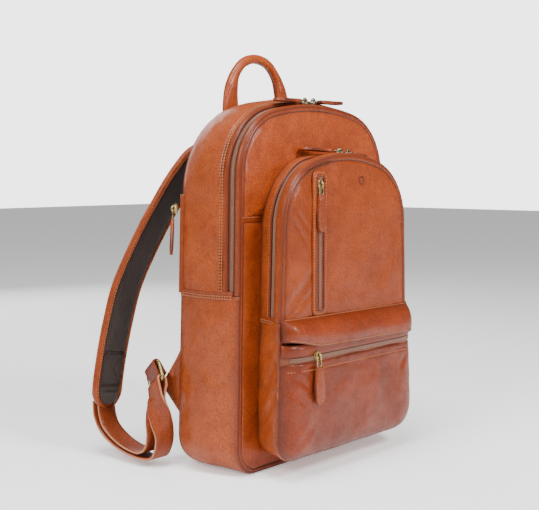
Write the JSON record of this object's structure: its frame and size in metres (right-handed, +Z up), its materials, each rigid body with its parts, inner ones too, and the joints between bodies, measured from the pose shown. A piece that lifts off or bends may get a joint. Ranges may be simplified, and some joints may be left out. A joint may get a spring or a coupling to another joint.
{
  "type": "backpack",
  "caption": "Leather backpack with an arched zipped body, a front pocket with an upright zip and lower pouch, a rolled top handle and padded shoulder straps.",
  "frame": {"origin": "centre of the underside of the main compartment, on the surface it stands on", "axes": "+Z up, -Y the front with the pocket, +Y the side against the wearer's back, +X to the right seen from the front"},
  "size_m": [0.351, 0.2672, 0.4646],
  "materials": {
    "tan_leather": "burnished full-grain, satin, darker along the edges",
    "split_leather": "smooth reddish face with pale rough cut edges",
    "gusset_leather": "matt pebbled leather",
    "antique_brass": "brushed antique brass",
    "zip_tape": "woven zip tape with brass teeth",
    "lining_cloth": "dark brown twill",
    "strap_mesh": "dark brown spacer mesh",
    "stiffener": "black board",
    "foam": "mesh over foam"
  },
  "bodies": {
    "shell": {"front_panel_upper": "tan_leather", "front_panel_lower": "tan_leather", "gusset_front_strip": "gusset_leather", "gusset_rear": "gusset_leather", "base_gusset": "gusset_leather", "main_zip": "zip_tape", "back_panel": "tan_leather", "back_padding": "foam", "main_lining": "lining_cloth", "laptop_divider": "lining_cloth", "base_board": "stiffener", "pocket_gusset_rear": "gusset_leather", "pocket_gusset_front": "gusset_leather", "pocket_gusset_lower": "gusset_leather", "pocket_zip": "zip_tape", "pocket_panel": "tan_leather", "upright_zip": "zip_tape", "pocket_band": "tan_leather", "pouch_backing": "tan_leather", "pouch_front": "tan_leather", "pouch_zip": "zip_tape", "side_zip": "zip_tape", "strap_yoke": "tan_leather", "wing_left": "tan_leather", "wing_right": "tan_leather", "ring_loop_left": "tan_leather", "ring_loop_right": "tan_leather"},
    "handle": {"handle": "tan_leather"},
    "shoulder_strap_left": {"strap_left": "tan_leather", "strap_mesh_left": "strap_mesh", "adjuster_left": "split_leather"},
    "ring_left": {"ring_left": "antique_brass"},
    "buckle_left": {"buckle_left": "antique_brass"},
    "shoulder_strap_right": {"strap_right": "tan_leather", "strap_mesh_right": "strap_mesh", "adjuster_right": "split_leather"},
    "ring_right": {"ring_right": "antique_brass"},
    "buckle_right": {"buckle_right": "antique_brass"},
    "main_left_slider": {"main_left_slider": "antique_brass"},
    "main_left_pull": {"main_left_link": "antique_brass", "main_left_tab": "tan_leather"},
    "main_right_slider": {"main_right_slider": "antique_brass"},
    "main_right_pull": {"main_right_link": "antique_brass", "main_right_tab": "tan_leather"},
    "pocket_left_slider": {"pocket_left_slider": "antique_brass"},
    "pocket_left_pull": {"pocket_left_link": "antique_brass", "pocket_left_tab": "tan_leather"},
    "pocket_right_slider": {"pocket_right_slider": "antique_brass"},
    "pocket_right_pull": {"pocket_right_link": "antique_brass", "pocket_right_tab": "tan_leather"},
    "upright_slider": {"upright_slider": "antique_brass"},
    "upright_pull": {"upright_link": "antique_brass", "upright_tab": "tan_leather"},
    "pouch_slider": {"pouch_slider": "antique_brass"},
    "pouch_pull": {"pouch_link": "antique_brass", "pouch_tab": "tan_leather"},
    "side_slider": {"side_slider": "antique_brass"},
    "side_pull": {"side_link": "antique_brass", "side_tab": "tan_leather"}
  },
  "joints": [
    {"name": "handle_fold", "type": "hinge", "parent": "shell", "child": "handle", "pos_m": [0, 0.0501, 0.4065], "axis": [1, 0, 0], "range_deg": [-60, 55], "stiffness_Nm_per_rad": 0.08},
    {"name": "strap_swing_left", "type": "hinge", "parent": "shell", "child": "shoulder_strap_left", "pos_m": [-0.05, 0.05, 0.35], "axis": [1, 0, 0], "range_deg": [-9, 9], "stiffness_Nm_per_rad": 1.6, "springref_deg": 2.86, "deforming": ["adjuster_left"]},
    {"name": "strap_swing_right", "type": "hinge", "parent": "shell", "child": "shoulder_strap_right", "pos_m": [0.05, 0.05, 0.35], "axis": [1, 0, 0], "range_deg": [-9, 9], "stiffness_Nm_per_rad": 1.6, "springref_deg": 2.86, "deforming": ["adjuster_right"]},
    {"name": "ring_hang_left", "type": "hinge", "parent": "shell", "child": "ring_left", "pos_m": [-0.15, 0.072, 0.108], "axis": [0.1401, 0.7507, -0.6456], "range_deg": [0, 100]},
    {"name": "ring_hang_right", "type": "hinge", "parent": "shell", "child": "ring_right", "pos_m": [0.15, 0.072, 0.108], "axis": [0.1401, -0.7507, 0.6456], "range_deg": [0, 100]},
    {"name": "buckle_tilt_left", "type": "hinge", "parent": "shoulder_strap_left", "child": "buckle_left", "pos_m": [-0.15171, 0.1552, 0.08802], "axis": [0.9858, 0.1104, -0.1268], "range_deg": [0, 60]},
    {"name": "buckle_tilt_right", "type": "hinge", "parent": "shoulder_strap_right", "child": "buckle_right", "pos_m": [0.15171, 0.1552, 0.08802], "axis": [0.9858, -0.1104, 0.1268], "range_deg": [0, 60]},
    {"name": "main_left_run", "type": "hinge", "parent": "shell", "child": "main_left_slider", "pos_m": [0, -0.0315, 0.07295], "axis": [0, -1, 0], "range_deg": [0, 10.7]},
    {"name": "main_right_run", "type": "hinge", "parent": "shell", "child": "main_right_slider", "pos_m": [0, -0.0315, 0.07295], "axis": [0, 1, 0], "range_deg": [0, 11.2]},
    {"name": "pocket_left_run", "type": "hinge", "parent": "shell", "child": "pocket_left_slider", "pos_m": [0, -0.0684, 0.134], "axis": [0, -1, 0], "range_deg": [0, 14.8]},
    {"name": "pocket_right_run", "type": "hinge", "parent": "shell", "child": "pocket_right_slider", "pos_m": [0, -0.0684, 0.134], "axis": [0, 1, 0], "range_deg": [0, 6.2]},
    {"name": "upright_run", "type": "slide", "parent": "shell", "child": "upright_slider", "axis": [0, 0, -1], "range_m": [0, 0.086]},
    {"name": "pouch_run", "type": "slide", "parent": "shell", "child": "pouch_slider", "axis": [0.9999, 0, -0.0139], "range_m": [0, 0.176]},
    {"name": "side_run", "type": "slide", "parent": "shell", "child": "side_slider", "axis": [-0.0331, 0, -0.9995], "range_m": [0, 0.082]},
    {"name": "main_left_flap", "type": "hinge", "parent": "main_left_slider", "child": "main_left_pull", "pos_m": [-0.0107, -0.0315, 0.40659], "axis": [0, 1, 0], "range_deg": [0, 95]},
    {"name": "main_right_flap", "type": "hinge", "parent": "main_right_slider", "child": "main_right_pull", "pos_m": [0.00767, -0.0315, 0.40667], "axis": [0, -1, 0], "range_deg": [0, 95]},
    {"name": "pocket_left_flap", "type": "hinge", "parent": "pocket_left_slider", "child": "pocket_left_pull", "pos_m": [0.00713, -0.06791, 0.34969], "axis": [0.3088, 0.9511, -0.0124], "range_deg": [0, 95]},
    {"name": "pocket_right_flap", "type": "hinge", "parent": "pocket_right_slider", "child": "pocket_right_pull", "pos_m": [0.02539, -0.06791, 0.34831], "axis": [0.3071, -0.9511, -0.0342], "range_deg": [0, 95]},
    {"name": "upright_flap", "type": "hinge", "parent": "upright_slider", "child": "upright_pull", "pos_m": [-0.052, -0.0894, 0.3114], "axis": [-1, 0, 0], "range_deg": [0, 150]},
    {"name": "pouch_flap", "type": "hinge", "parent": "pouch_slider", "child": "pouch_pull", "pos_m": [-0.074, -0.1052, 0.12948], "axis": [-1, 0, 0], "range_deg": [0, 150]},
    {"name": "side_flap", "type": "hinge", "parent": "side_slider", "child": "side_pull", "pos_m": [-0.13817, 0.04995, 0.2844], "axis": [0.7071, 0.7071, 0], "range_deg": [0, 150]}
  ]
}
